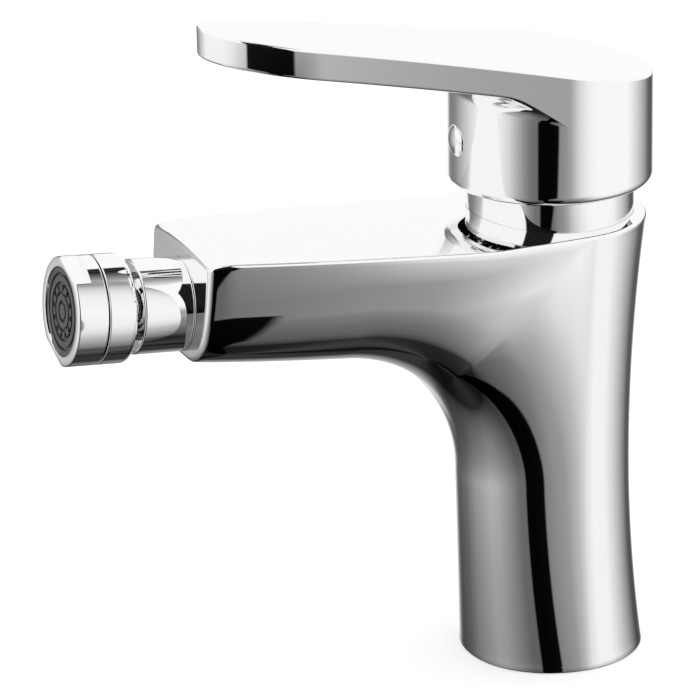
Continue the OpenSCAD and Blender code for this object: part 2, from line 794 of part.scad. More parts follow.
module ball_neck() {
    color([0.78, 0.79, 0.81])
        nozzle_frame()
            difference() {
                union() {
                    translate([0, 0, -neck_in])
                        cylinder(r = thread_r, h = neck_in + neck_l / 2);
                    translate([0, 0, seat_gap])
                        cylinder(r = neck_r, h = neck_l - seat_gap);
                    cylinder(r = ball_stem_r, h = ball_s);
                    intersection() {
                        translate([0, 0, ball_s])
                            sphere(r = ball_r);
                        translate([0, 0, neck_l])
                            cylinder(r = ball_r + 1, h = ball_s + ball_r * 0.64 - neck_l);
                    }
                }
                translate([0, 0, -neck_in - 1])
                    cylinder(r = thread_r - neck_wall, h = neck_in + neck_l - neck_wall + 1);
                translate([0, 0, -neck_in])
                    cylinder(r = ball_bore_r, h = neck_in + ball_s + ball_r);
            }
}

module neck_seal() {
    color([0.08, 0.08, 0.09])
        nozzle_frame()
            translate([0, 0, -neck_in - neck_seal_h + seat_gap])
                tube(thread_r - 5 * seat_gap, thread_r - neck_wall + seat_gap, neck_seal_h - 2 * seat_gap);
}

module ball_seat() {
    color([0.93, 0.93, 0.91])
        nozzle_frame()
            difference() {
                intersection() {
                    translate([0, 0, ball_s])
                        sphere(r = seat_r);
                    translate([0, 0, ball_s - 3.4])
                        cylinder(r = seat_r + 1, h = 3.4 + ball_r / 2);
                }
                translate([0, 0, ball_s])
                    sphere(r = ball_r + run_fit);
            }
}

module socket_ring() {
    color([0.80, 0.81, 0.83])
        nozzle_frame()
            difference() {
                translate([0, 0, ring_s])
                    rotate_extrude()
                        polygon(concat([[0, 0]],
                            [for (i = [0 : 5]) let (b = 90 * i / 5)
                                [ring_r - ring_round * (1 - sin(b)), ring_round * (1 - cos(b))]],
                            [[ring_r, rear_ring_l], [0, rear_ring_l]]));
                translate([0, 0, ball_s])
                    sphere(r = seat_r + run_fit);
                translate([0, 0, spigot_s - seat_gap])
                    cylinder(r = spigot_r + seat_gap, h = far);
            }
}

module aerator_housing() {
    color([0.81, 0.82, 0.84])
        nozzle_frame()
            difference() {
                union() {
                    difference() {
                        union() {
                            translate([0, 0, front_s])
                                cylinder(r = ring_r, h = front_ring_l - 0.5);
                            translate([0, 0, end_s - 0.5])
                                cylinder(r1 = ring_r, r2 = ring_r - 0.5, h = 0.5);
                        }
                        for (a = [-flat_turn, 180 - flat_turn])
                            rotate([0, 0, a])
                                translate([-ring_r, flat_in, end_s - flat_l])
                                    cube([2 * ring_r, ring_r, flat_l + 1]);
                    }
                    translate([0, 0, spigot_s])
                        cylinder(r = spigot_r, h = front_s - spigot_s + 1);
                }
                translate([0, 0, ball_s])
                    sphere(r = seat_r + run_fit);
                translate([0, 0, ball_s])
                    cylinder(r = ball_r * 0.78, h = far);
                translate([0, 0, shelf_s])
                    cylinder(r = insert_r + seat_gap, h = far);
            }
}

module aerator_washer() {
    color([0.10, 0.10, 0.11])
        nozzle_frame()
            translate([0, 0, shelf_s + seat_gap])
                tube(insert_r, ball_r * 0.78, washer_t);
}

module aerator_mesh() {
    color([0.60, 0.61, 0.62])
        nozzle_frame()
            difference() {
                translate([0, 0, mesh_s])
                    cylinder(r = insert_r * 0.885, h = mesh_t);
                for (i = [0 : 11])
                    rotate([0, 0, 30 * i])
                        translate([insert_r * 0.54, 0, shelf_s])
                            cylinder(r = insert_r * 0.085, h = far, $fn = 16);
                for (i = [0 : 5])
                    rotate([0, 0, 60 * i])
                        translate([insert_r * 0.27, 0, shelf_s])
                            cylinder(r = insert_r * 0.085, h = far, $fn = 16);
            }
}

module aerator_insert() {
    face_s = end_s - insert_in;
    color([0.25, 0.25, 0.27])
        nozzle_frame()
            difference() {
                translate([0, 0, mesh_s])
                    cylinder(r = insert_r, h = face_s - mesh_s);
                // Pocket of the mesh
                translate([0, 0, mesh_s - 1])
                    cylinder(r = insert_r * 0.885 + seat_gap, h = mesh_t + seat_gap + 1);
                // Rings in the face
                for (i = [1 : 4])
                    translate([0, 0, face_s - mesh_t])
                        tube(insert_r * (0.04 + 0.21 * i), insert_r * (0.21 * i - 0.04), far);
                // Jet holes
                for (i = [0 : 11])
                    rotate([0, 0, 30 * i])
                        translate([insert_r * 0.54, 0, mesh_s])
                            cylinder(r = insert_r * 0.067, h = far, $fn = 16);
            }
}

body();
base_seal();
cartridge_base();
port_seals();
fixed_disc();
moving_disc();
disc_carrier();
cartridge_housing();
glide_ring();
stem_turret();
stem();
stem_pin();
retaining_nut();
collar();
collar_seal();
handle();
grub_screw();
index_plug();
ball_neck();
neck_seal();
ball_seat();
socket_ring();
aerator_housing();
aerator_washer();
aerator_mesh();
aerator_insert();
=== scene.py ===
# %% [markdown]
# # A chrome bidet mixer
#
# A single-lever mixer is a waisted column that grows into a broad, slightly rising spout. A barrel
# with a flat lever sits over the cartridge, and a swivelling aerator closes the end of the spout.
# The engineering model is loaded first. It fixes the frame, the sizes and the moving bodies, and
# everything that is made here is laid over it in the same coordinates, in metres.

# %% Load the frame
import math

import bmesh
import bpy
import numpy as np
from mathutils import Matrix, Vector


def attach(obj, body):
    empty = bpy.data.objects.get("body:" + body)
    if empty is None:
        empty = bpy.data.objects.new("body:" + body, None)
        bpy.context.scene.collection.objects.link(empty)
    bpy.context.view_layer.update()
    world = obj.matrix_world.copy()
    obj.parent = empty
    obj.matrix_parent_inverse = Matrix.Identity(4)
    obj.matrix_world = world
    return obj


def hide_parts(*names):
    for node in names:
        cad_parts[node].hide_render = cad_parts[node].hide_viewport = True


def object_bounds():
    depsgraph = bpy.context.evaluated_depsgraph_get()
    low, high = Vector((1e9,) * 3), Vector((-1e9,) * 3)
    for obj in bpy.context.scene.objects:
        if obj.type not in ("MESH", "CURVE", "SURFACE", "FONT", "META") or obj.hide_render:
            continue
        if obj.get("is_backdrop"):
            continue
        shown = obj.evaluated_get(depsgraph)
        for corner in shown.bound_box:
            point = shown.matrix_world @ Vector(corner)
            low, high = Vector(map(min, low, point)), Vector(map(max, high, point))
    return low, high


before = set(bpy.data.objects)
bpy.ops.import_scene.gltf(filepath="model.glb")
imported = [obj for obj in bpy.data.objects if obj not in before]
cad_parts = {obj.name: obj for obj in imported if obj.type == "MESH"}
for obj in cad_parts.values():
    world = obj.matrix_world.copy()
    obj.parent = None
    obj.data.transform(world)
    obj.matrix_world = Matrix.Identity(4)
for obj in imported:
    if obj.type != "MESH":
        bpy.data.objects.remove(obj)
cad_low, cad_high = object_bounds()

MM = 0.001

# %% [markdown]
# ## Skins from grids of points
#
# Chrome shows every facet, so the visible pieces are rebuilt with fine surfaces. Each surface is a
# grid of points that numpy works out from a formula. A piece is several grids joined: points that
# fall together are merged, faces are turned outwards and edges over a set angle stay sharp.
# A lathe profile could also use the Screw modifier, but one helper for all grids is simpler.

# %% Grid helpers
def grid_faces(rows, cols, start):
    """Four corner numbers of every cell of a grid whose points are numbered row by row."""
    first = (np.arange(rows - 1)[:, None] * cols + np.arange(cols - 1)[None, :]).ravel() + start
    return np.stack([first, first + 1, first + cols + 1, first + cols], axis=1)


def make_piece(name, grids, body, nodes=(), sharp=35.0, fills=()):
    """Joins grids of points in millimetres into one mesh that rides on a CAD body.
    A fill is a list of closed loops that lie in one plane: an outer loop and the holes in it."""
    points = np.concatenate([np.asarray(g, float).reshape(-1, 3) for g in grids]) * MM
    starts = np.cumsum([0] + [g.shape[0] * g.shape[1] for g in grids])
    faces = np.concatenate([grid_faces(g.shape[0], g.shape[1], s) for g, s in zip(grids, starts)])
    mesh = bpy.data.meshes.new(name)
    mesh.from_pydata(points.tolist(), [], faces.tolist())
    work = bmesh.new()
    work.from_mesh(mesh)
    for loops in fills:
        edges = []
        for loop in loops:
            corners = [work.verts.new(p) for p in (np.asarray(loop) * MM).tolist()]
            edges += [work.edges.new(pair) for pair in zip(corners, corners[1:] + corners[:1])]
        bmesh.ops.triangle_fill(work, edges=edges, use_beauty=True)
    bmesh.ops.remove_doubles(work, verts=work.verts[:], dist=2e-6)
    bmesh.ops.dissolve_degenerate(work, edges=work.edges[:], dist=1e-7)
    bmesh.ops.recalc_face_normals(work, faces=work.faces[:])
    open_edges = sum(1 for e in work.edges if not e.is_manifold)
    work.to_mesh(mesh)
    work.free()
    mesh.shade_smooth()
    mesh.set_sharp_from_angle(angle=math.radians(sharp))
    piece = bpy.data.objects.new(name, mesh)
    bpy.context.scene.collection.objects.link(piece)
    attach(piece, body)
    if nodes:
        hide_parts(*nodes)
    print(f"{name}: {len(mesh.polygons)} faces, open edges {open_edges}")
    return piece


def blend_rows(first, last, shares):
    """Straight rows between two rows of points: P = first (1 - s) + last s."""
    s = np.asarray(shares, float)[:, None, None]
    return first[None] * (1 - s) + last[None] * s


def edge_rounding(edge, down, inward, r, steps=6):
    """Quarter round along an edge: P(a) = E + r (d + i) - r (i cos a + d sin a), a = 0..90."""
    a = np.radians(np.linspace(0, 90, steps + 1))[:, None, None]
    return edge + r * (down + inward) - r * (inward * np.cos(a) + down * np.sin(a))


def mirrored(grid):
    """The same grid on the other side of the middle plane x = 0."""
    return grid * np.array([-1.0, 1.0, 1.0])


def soften(profile, radii, steps=4):
    """Rounds the corners of an open profile of (radius, height) points, with a radius for each."""
    p = np.asarray(profile, float)
    out = [p[:1]]
    for before, corner, after, r in zip(p[:-2], p[1:-1], p[2:], radii[1:-1]):
        u = (before - corner) / np.linalg.norm(before - corner)
        v = (after - corner) / np.linalg.norm(after - corner)
        half = math.acos(float(np.clip(u @ v, -1, 1))) / 2
        if r <= 0 or half > 1.55:
            out.append(corner[None])
            continue
        reach = r / math.tan(half)
        middle = corner + (u + v) / np.linalg.norm(u + v) * r / math.sin(half)
        one, two = corner + u * reach - middle, corner + v * reach - middle
        turn = math.acos(float(np.clip(one @ two / r / r, -1, 1)))
        s = np.linspace(0, 1, steps + 1)[:, None]
        arc = (np.sin((1 - s) * turn) * one + np.sin(s * turn) * two) / math.sin(turn)
        out.append(middle + arc)
    return np.concatenate(out + [p[-1:]])


def flanked(profile, gap):
    """Adds a point close to both ends of every longer line, so that flats shade flat."""
    p = np.asarray(profile, float)
    step = np.diff(p, axis=0)
    length = np.linalg.norm(step, axis=1)
    parts = [np.stack([a, a + d * gap / n, a + d * (1 - gap / n)]) if n > 4 * gap else a[None]
             for a, d, n in zip(p[:-1], step, length)]
    return np.concatenate(parts + [p[-1:]])


def revolve(profile, segments=192):
    """Turns (radius, height) points about Z: P = (r cos a, r sin a, h)."""
    a = np.linspace(0, 2 * np.pi, segments + 1)
    p = np.asarray(profile, float)
    return np.stack([p[:, :1] * np.cos(a), p[:, :1] * np.sin(a), p[:, 1:] + 0 * a], axis=2)


# %% [markdown]
# ## The body: column, elbow and spout in one skin
#
# On the real mixer the column and the spout are one brass casting, ground, polished and chromed.
# The underside line runs up the front of the column, around the elbow and out under the spout.
# At every station on that line stands a section plane: near the foot it is level and closes to a
# circle behind the axis, and along the spout it stands upright and closes at the edge of the top.
# A subdivision cage could look similar, but these formulas hold the same sizes as the CAD part.

# %% Sizes and lines of the body
BASE_R, WAIST_R, WAIST_Z, RIM_R, BODY_H = 23.0, 19.75, 51.0, 23.8, 114.5
FRONT_R, ELBOW_Z, ELBOW_R, UNDER_RISE = 24.3, 48.0, 40.1, 7.4
REACH, TIP_HALF, TIP_RISE, RISE_FROM, RISE_EASE = 99.3, 19.0, 5.8, 21.2, 0.08
BULGE, TIP_CORNER, TIP_ROUND, LEAN = 1.1, 12.0, 1.2, 4.5
TIP_DROP, TIP_CROWN, TIP_TUCK, TIP_RUN = 1.05, 1.0, 0.7, 9.0
COLUMN_TURN, SPOUT_TURN, MIDDLE_TURN, MIDDLE_MIX = 80.0, 86.5, 12.0, 0.2
WELL_R, CART_R, FLOOR_Z, STEP_Z, NECK_BORE = 18.96, 17.56, 88.0, 106.02, 10.56
TOP_CROWN, SEAT_R, EDGE_ROUND, FOOT_ROUND = 2.9, 20.81, 0.7, 0.4
NECK_DEPTH, NOZZLE_DROP, ELBOW_SHARE = 11.0, 1.1, 0.567
GROOVE_OUT, GROOVE_IN, GROOVE_H = 20.66, 18.34, 2.06


def rear_r(z):
    """Radius behind the axis: two parabolas that meet at the waist."""
    low = WAIST_R + (BASE_R - WAIST_R) * ((WAIST_Z - z) / WAIST_Z) ** 2
    high = WAIST_R + (RIM_R - WAIST_R) * ((z - WAIST_Z) / (BODY_H - WAIST_Z)) ** 2
    return np.where(z < WAIST_Z, low, high)


def tip_share(y):
    """How far the surfaces have turned in towards the end face, from none to one."""
    return np.maximum(0, 1 - (REACH + y) / TIP_RUN) ** 2


def top_line(y):
    """Height of the top along the spout: level round the collar, then a steady rise, then a soft drop."""
    s = np.maximum(0, (-y - RISE_FROM) / (REACH - RISE_FROM))
    eased = np.where(s < RISE_EASE, s * s / (2 * RISE_EASE), s - RISE_EASE / 2)
    return BODY_H + TIP_RISE * eased / (1 - RISE_EASE / 2) - TIP_DROP * tip_share(y)


def plan_half(y):
    """Half width of the top seen from above."""
    t = np.minimum(1, -y / REACH)
    return RIM_R + (TIP_HALF - RIM_R) * t * t + 4 * BULGE * t * (1 - t) - TIP_TUCK * tip_share(y)


def top_z(x, y):
    """Height of the top at a point: its edge and a crown c (1 - q), with q = (x / half)^2 along the spout
    and q = (x^2 + y^2) / R^2 behind the axis. The crown flattens towards the end face."""
    q = np.where(y < 0, (x / plan_half(y)) ** 2, (x * x + y * y) / RIM_R ** 2)
    crown = TOP_CROWN * np.clip(1 + y / REACH, 0, 1)
    return top_line(y) - TIP_CROWN * tip_share(y) * q + crown * (1 - q)


UNDER_A = math.radians(90 - UNDER_RISE)
UNDER_Y = -FRONT_R - ELBOW_R + ELBOW_R * math.cos(UNDER_A)
UNDER_Z = ELBOW_Z + ELBOW_R * math.sin(UNDER_A)
UNDER_LEN = REACH + UNDER_Y
TIP_LOW = UNDER_Z + UNDER_LEN * math.tan(math.radians(UNDER_RISE))
TIP_HIGH = BODY_H + TIP_RISE - TIP_DROP
NOZZLE_Z = (TIP_LOW + TIP_HIGH) / 2 - NOZZLE_DROP
print("end face from", round(TIP_LOW, 2), "to", round(TIP_HIGH, 2), "nozzle at", round(NOZZLE_Z, 2))

# %% Stations along the underside
def body_stations():
    """Columns: y, z, plane angle, share of the way to the end, inset. Also the rim's number."""
    z = np.linspace(0, ELBOW_Z, 33)[:-1]
    column = np.stack([-BASE_R - (FRONT_R - BASE_R) * z / ELBOW_Z, z, 0 * z, 0 * z, 0 * z], axis=1)
    rim_a = math.atan((BODY_H - ELBOW_Z) / (FRONT_R + ELBOW_R))
    b = np.concatenate([np.linspace(0, rim_a - 0.02, 36), [rim_a - 0.012, rim_a],
                        np.linspace(rim_a, UNDER_A, 31)[1:]])
    elbow = np.stack([-FRONT_R - ELBOW_R + ELBOW_R * np.cos(b), ELBOW_Z + ELBOW_R * np.sin(b), b,
                      ELBOW_SHARE * b / UNDER_A, 0 * b], axis=1)
    turn = np.radians(np.linspace(0, 90, 8))
    s = np.concatenate([np.linspace(0, 1 - TIP_ROUND / UNDER_LEN, 41)[1:],
                        1 - TIP_ROUND * (1 - np.sin(turn[1:])) / UNDER_LEN])
    inset = np.concatenate([np.zeros(40), TIP_ROUND * (1 - np.cos(turn[1:]))])
    rise = math.tan(math.radians(UNDER_RISE))
    end_a = math.radians(90 - LEAN)
    spout = np.stack([UNDER_Y - s * UNDER_LEN, UNDER_Z + s * UNDER_LEN * rise,
                      UNDER_A + s * (end_a - UNDER_A), ELBOW_SHARE + (1 - ELBOW_SHARE) * s, inset], axis=1)
    return np.concatenate([column, elbow, spout]), len(column) + 37


stations, rim = body_stations()
print("stations:", len(stations), "rim at", rim)

# %% Half sections
def half_sections(q, rim_k, arc_n=24, side_n=8):
    """Right half of every section, from the middle of the underside out, up and to the top edge.
    Three arcs turn the underside into the side: radius r0 up to the angle T1, r0 (1 - m) + r1 m up to T2
    and r1 up to 90 degrees. They run rc sideways and as deep as the section, which gives r0 and r1."""
    y, z, a, share, inset = q.T
    rear = np.arange(len(q)) <= rim_k
    reach = np.full(len(q), 40.0)
    for _ in range(30):
        ye = y + reach * np.cos(a)
        reach = (top_line(ye) - TIP_CROWN * tip_share(ye) - z) / np.maximum(np.sin(a), 0.05)
    reach = np.where(rear, -y / np.cos(a), reach)
    wide = np.where(rear, rear_r(z + reach * np.sin(a)), plan_half(y + reach * np.cos(a)))
    half = wide - inset
    rc = np.minimum(np.minimum(half - 0.4, (1 - share) * wide + share * TIP_CORNER), 0.97 * reach) - inset
    depth = reach - inset
    t2 = np.radians(COLUMN_TURN + (SPOUT_TURN - COLUMN_TURN) * share)
    t1 = t2 - np.radians(MIDDLE_TURN)
    keep = 1 - MIDDLE_MIX
    s1, c1, s2, c2 = np.sin(t1), np.cos(t1), np.sin(t2), np.cos(t2)
    a0, a1 = s1 + keep * (s2 - s1), MIDDLE_MIX * (s2 - s1) + 1 - s2
    b0, b1 = 1 - c1 + keep * (c1 - c2), MIDDLE_MIX * (c1 - c2) + c2
    r1 = ((depth - rc * b0 / a0) / (b1 - a1 * b0 / a0))[:, None]
    r0 = (rc[:, None] - a1[:, None] * r1) / a0[:, None]
    rm = keep * r0 + MIDDLE_MIX * r1
    spread = lambda low, high, n: low[:, None] + (high - low)[:, None] * np.linspace(0, 1, n + 1)
    t = spread(0 * t1, t1, arc_n)
    m = spread(t1, t2, 6)[:, 1:]
    u = spread(t2, 0 * t2 + np.pi / 2, side_n)[:, 1:]
    s1, c1, start, low = (v[:, None] for v in (s1, c1, half - rc, inset))
    flat = np.linspace(0, 1, 6)[:-1]
    x = np.concatenate([start * flat, start + r0 * np.sin(t), start + r0 * s1 + rm * (np.sin(m) - s1),
                        half[:, None] - r1 * (1 - np.sin(u))], axis=1)
    d = np.concatenate([low + 0 * flat, low + r0 * (1 - np.cos(t)),
                        low + r0 * (1 - c1) + rm * (c1 - np.cos(m)), reach[:, None] - r1 * np.cos(u)], axis=1)
    return np.stack([x, y[:, None] + d * np.cos(a)[:, None], z[:, None] + d * np.sin(a)[:, None]], axis=2)


halves = half_sections(stations, rim)
print("half sections:", halves.shape)

# %% [markdown]
# The top is a separate surface that is crowned beside the collar and flattens towards the end face.
# Its edge is a loop: along the right side to the end face, across the top of the end face, back along
# the left side and around behind the axis. A quarter round follows the loop, and a fan of rows on the
# crown joins it to the seat of the collar, so that one grid holds both the loop and the round seat.

# %% Assemble the body
def unit(v):
    """Vectors of length one."""
    return v / np.linalg.norm(v, axis=-1, keepdims=True)


def loop_inward(loop):
    """Level directions that point into a closed loop which runs clockwise seen from above."""
    along = np.roll(loop, -1, axis=0) - np.roll(loop, 1, axis=0)
    return unit(np.stack([along[:, 1], -along[:, 0], 0 * along[:, 0]], axis=1))


def closed(grid):
    """The grid with its first column repeated at its end."""
    return np.concatenate([grid, grid[:, :1]], axis=1)


def circle(x, y, r, z=0.0, n=48):
    """A level circle whose last point repeats its first."""
    a = np.linspace(0, 2 * np.pi, n + 1)
    return np.stack([x + r * np.cos(a), y + r * np.sin(a), z + 0 * a], axis=1)


def body_grids():
    """Rounded top edge, sides, back, top, well, end face, neck recess and rounded foot, as grids."""
    lean = math.radians(LEAN)
    edge = halves[rim:, -1]
    across = np.linspace(1, -1, 26)[1:-1]
    tip = np.stack([edge[-1, 0] * across, edge[-1, 1] + 0 * across,
                    edge[-1, 2] + TIP_CROWN * (1 - across ** 2)], axis=1)
    back_t = np.radians(np.linspace(180, 0, 97))[1:-1]
    behind = np.stack([RIM_R * np.cos(back_t), RIM_R * np.sin(back_t), BODY_H + 0 * back_t], axis=1)
    loop = np.concatenate([edge, tip, mirrored(edge[::-1]), behind])
    inward = loop_inward(loop)
    inside = loop + inward
    inward[:, 2] = top_z(inside[:, 0], inside[:, 1]) - top_z(loop[:, 0], loop[:, 1])
    inward = unit(inward)
    down = np.zeros_like(loop) + np.array([0, 0, -1.0])
    down[len(edge) - 1:len(edge) + len(tip) + 1] = [0, -math.sin(lean), -math.cos(lean)]
    strip = edge_rounding(loop, down, inward, EDGE_ROUND)
    sides = halves.copy()
    sides[rim:, -1] = strip[0, :len(edge)]
    t = np.radians(np.linspace(0, 180, 97))
    ends = halves[:rim + 1, -1]
    back = np.stack([ends[:, :1] * np.cos(t), ends[:, :1] * np.sin(t), ends[:, 2:] + 0 * t], axis=2)
    back[-1, :, 2] -= EDGE_ROUND
    # Top: a fan between the rounding and the seat of the collar, then the well of the cartridge
    outer = strip[-1]
    ray = unit(outer * [1, 1, 0])
    fan = blend_rows(outer, ray * SEAT_R, np.concatenate([[0, 0.004], np.linspace(0.03, 1, 40)]))
    fan[1:, :, 2] = top_z(fan[1:, :, 0], fan[1:, :, 1])
    steps = [(SEAT_R, BODY_H), (WELL_R, BODY_H), (WELL_R, STEP_Z), (CART_R, STEP_Z), (CART_R, FLOOR_Z),
             (0, FLOOR_Z)]
    well = np.concatenate([fan[-1:], np.stack([ray * r + (0, 0, z) for r, z in steps])])
    # End face: a fan between its outline and the round recess of the neck
    face = np.concatenate([halves[-1, :-1], strip[0, len(edge) - 1:len(edge) + len(tip) + 1],
                           mirrored(halves[-1, -2:0:-1])])
    face_c = np.array([0, -REACH + (NOZZLE_Z - TIP_LOW) * math.tan(lean), NOZZLE_Z])
    face_in = face_c + unit(face - face_c) * NECK_BORE
    axis = np.array([0, -math.cos(lean), math.sin(lean)])
    plane = blend_rows(face, face_in, [0, 0.02, 0.1, 0.4, 0.7, 1.0])
    recess = np.stack([face_in, face_in - NECK_DEPTH * axis, face_c - NECK_DEPTH * axis + 0 * face_in])
    # Foot: its rounded lower edge
    foot = np.concatenate([halves[0], back[0, 1:-1], mirrored(halves[0, ::-1])[:-1]])
    foot_in = unit(-foot * [1, 1, 0])
    foot_strip = edge_rounding(foot, np.array([0, 0, 1.0]), foot_in, FOOT_ROUND, 4)
    return strip, sides, back, fan, well, plane, recess, foot_strip


strip, sides, back, fan, well, plane, recess, foot_strip = body_grids()
sides[0] = foot_strip[0, :sides.shape[1]]
back[0] = foot_strip[0, sides.shape[1] - 1:sides.shape[1] - 1 + back.shape[1]]
print("top edge:", strip.shape[1], "points, foot:", foot_strip.shape[1], "points")

# %% [markdown]
# Under the foot lie the groove of the gasket, two tapped inlets and the hole of the fixing stud. The
# plane between them is filled inside its loops, because a grid cannot go around three holes.

# %% Foot and body skin
groove = revolve([(GROOVE_OUT, 0), (GROOVE_OUT, GROOVE_H), (GROOVE_IN, GROOVE_H), (GROOVE_IN, 0)], 96)
# Two inlets and the stud: x, y, radius and depth
HOLES = [(-7.2, 3.5, 4.55, 14.0), (7.2, 3.5, 4.55, 14.0), (0.0, -10.0, 3.4, 20.0)]
bores = [np.stack([circle(x, y, r), circle(x, y, r, h), circle(x, y, 0, h)]) for x, y, r, h in HOLES]
rim_fill = [foot_strip[-1], circle(0, 0, GROOVE_OUT, n=96)[:-1]]
disc_fill = [circle(0, 0, GROOVE_IN, n=96)[:-1]] + [circle(x, y, r)[:-1] for x, y, r, h in HOLES]
body_skin = make_piece("body_skin", [sides, mirrored(sides), back, closed(strip), closed(fan), closed(well),
                                     closed(plane), closed(recess), closed(foot_strip), groove] + bores,
                       "mixer_body", ["body"], fills=[rim_fill, disc_fill])

# %% [markdown]
# ## The handle: a barrel with a flat lever
#
# The handle is a zinc die casting: a cup that stands over the cartridge and a lever that leaves the
# cup along its tangents and ends in a full oval. Its top is one flat plane that rises to the front.
# Seen from above the outline is a single loop, so the skin is made of paths that all start on that
# loop: down the side, in under the lever, through a fillet, down the barrel and up inside the cup.
# Booleans of a cylinder and a plate would need their fillets repaired by hand.

# %% Outline and profile of the handle
BARREL_R, BARREL_IN, BARREL_Z, HANDLE_Z, LEVER_RISE = 25.3, 22.0, 123.3, 155.0, 10.95
LEVER_T, LEVER_L, LEAVE, BEND, END_FROM, END_HALF, END_FULL = 7.2, 91.0, 14.0, 36.0, 66.0, 15.5, 2.4
FILLET, LIP, ROOF_T, BOSS_R, BOSS_Z = 5.5, 2.2, 6.0, 8.5, 129.0
STEM_R, STEM_Z, TOP_ROUND, LOW_ROUND = 5.8, 141.5, 0.6, 0.8
SLOPE = math.tan(math.radians(LEVER_RISE))
DROP = 1 / math.cos(math.radians(LEVER_RISE))


def lever_outline():
    """Right half of the outline from the back of the barrel to the end of the lever."""
    a = np.radians(np.linspace(90, -LEAVE, 80))
    barrel = BARREL_R * np.stack([np.cos(a), np.sin(a)], axis=1)
    leave = barrel[-1]
    bend = np.array([leave[0] - (BEND + leave[1]) * math.tan(math.radians(LEAVE)), -BEND])
    end = np.array([END_HALF, -END_FROM])
    t = np.linspace(0, 1, 61)[1:, None]
    side = leave * (1 - t) ** 2 + bend * 2 * t * (1 - t) + end * t * t
    slope = (end[0] - bend[0]) / (end[1] - bend[1])
    b = np.radians(np.linspace(0, 90, 61))[1:]
    run = (LEVER_L - END_FROM) * np.sin(b) ** (2 / END_FULL)
    tip = np.stack([(END_HALF - slope * run) * np.cos(b), -END_FROM - run], axis=1)
    return np.concatenate([barrel, side, tip])


def handle_grids():
    """Top plane, rounded edge and the paths down, under and into the barrel, for one closed loop."""
    half = lever_outline()
    loop = np.concatenate([half, (half * [-1, 1])[-2:0:-1]])
    top = np.column_stack([loop, HANDLE_Z - loop[:, 1] * SLOPE])
    inward = loop_inward(top)
    inward = unit(inward - np.array([0, 0, 1.0]) * inward[:, 1:2] * SLOPE)
    down = np.zeros_like(top) + np.array([0, 0, -1.0])
    strip = edge_rounding(top, down, inward, TOP_ROUND)
    # Distance outside the barrel, and the point of the barrel on the same ray
    far = np.linalg.norm(loop, axis=1)
    gap = np.maximum(far - BARREL_R, 0)
    wall = loop / far[:, None] * BARREL_R
    out = (loop - wall) / np.maximum(gap, 1e-9)[:, None]
    low = lambda xy: HANDLE_Z - LEVER_T * DROP - xy[..., 1] * SLOPE
    fall = lambda h: FILLET - np.sqrt(np.maximum(FILLET ** 2 - np.maximum(FILLET - h, 0) ** 2, 0))
    lower_r = np.minimum(LOW_ROUND, gap * 0.3)
    edge = np.column_stack([loop, low(loop) - fall(gap)])
    above = np.column_stack([loop, edge[:, 2] + lower_r + 0.1])
    rows = [strip[0], strip[0] + (0, 0, -0.15), above]
    for a in np.radians(np.linspace(0, 90, 6)):
        xy = loop - out * (lower_r * (1 - math.cos(a)))[:, None]
        h = np.maximum(gap - lower_r * (1 - math.cos(a)), 0)
        rows.append(np.column_stack([xy, low(xy) - fall(h) + lower_r * (1 - math.sin(a))]))
    # Underside: flat rows as far as the fillet, then rows spread over its arc
    start = gap - lower_r
    for s in np.linspace(0, 1, 14)[1:]:
        h = np.where(start > FILLET, start + (FILLET - start) * s, start)
        xy = wall + out * h[:, None]
        rows.append(np.column_stack([xy, low(xy) - fall(h)]))
    first = np.arcsin(np.clip(1 - start / FILLET, 0, 1))
    for s in np.linspace(0, 1, 12)[1:]:
        a = first + (np.pi / 2 - first) * s
        xy = wall + out * (FILLET * (1 - np.sin(a)))[:, None]
        rows.append(np.column_stack([xy, low(xy) - FILLET + FILLET * np.cos(a)]))
    ring = wall / BARREL_R
    flat = lambda r, z: np.column_stack([ring * r, z + np.zeros(len(ring))])
    rows += [flat(BARREL_R, BARREL_Z + LIP + 0.3), flat(BARREL_R, BARREL_Z + LIP)]
    rows += [flat(BARREL_R - LIP * (1 - math.cos(a)), BARREL_Z + LIP * (1 - math.sin(a)))
             for a in np.radians(np.linspace(0, 90, 10))[1:]]
    rows += [flat(BARREL_IN, BARREL_Z), flat(BARREL_IN, BARREL_Z + 0.2)]
    roof = lambda r: np.column_stack([ring * r, HANDLE_Z - ROOF_T * DROP - ring[:, 1] * r * SLOPE])
    rows += [roof(BARREL_IN), roof(BOSS_R), flat(BOSS_R, BOSS_Z), flat(STEM_R, BOSS_Z), flat(STEM_R, STEM_Z),
             flat(0, STEM_Z)]
    # Top plane between the two rounded edges
    n = len(half)
    right, left = strip[-1][:n], mirrored(strip[-1][:n])
    plane = blend_rows(right, left, [0, 0.006, 0.25, 0.5, 0.75, 0.994, 1])
    return np.stack(rows), strip, plane


paths, lever_strip, lever_top = handle_grids()
handle_skin = make_piece("handle_skin", [closed(paths), closed(lever_strip), lever_top],
                         "lever", ["handle"])

# %% [markdown]
# ## Collar, index plug and aerator
#
# These are turned pieces. Their profiles carry the small roundings that a lathe tool and polishing
# leave, because those thin edges are what catches the light. The aerator pieces are turned about Z
# and then laid on the axis of the nozzle, which tips up a little because the end face leans back.

